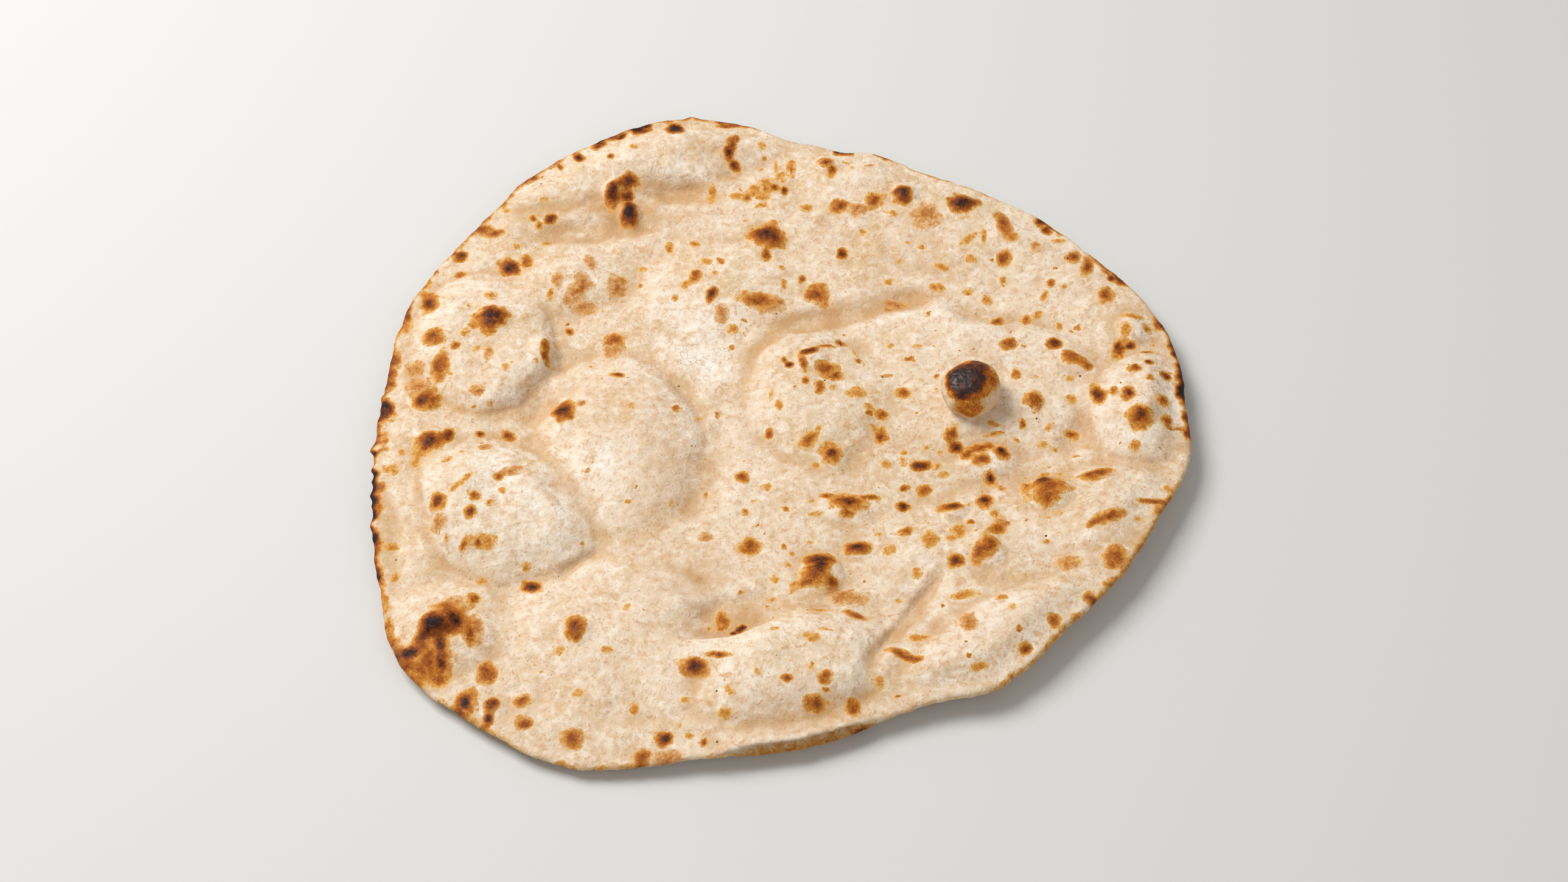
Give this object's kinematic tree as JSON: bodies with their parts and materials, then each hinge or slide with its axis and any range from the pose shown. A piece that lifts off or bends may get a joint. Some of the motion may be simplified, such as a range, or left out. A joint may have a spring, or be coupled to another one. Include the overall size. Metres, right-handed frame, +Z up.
{
  "type": "tandoori roti",
  "caption": "Large round blistered wheat flatbread with soft mounds, folds, a swollen knob and a split lip, lying on its flat middle.",
  "frame": {"origin": "under the middle of the bread's box, on the surface it rests on", "axes": "+Z up through the bread, +X along its longer way across, the split lip at -Y"},
  "size_m": [0.3004, 0.2928, 0.024],
  "materials": {
    "baked_crust": "matt, dry and floury baked wheat crust with brown and charred blisters"
  },
  "bodies": {
    "root": {"roti": "baked_crust"}
  },
  "joints": []
}
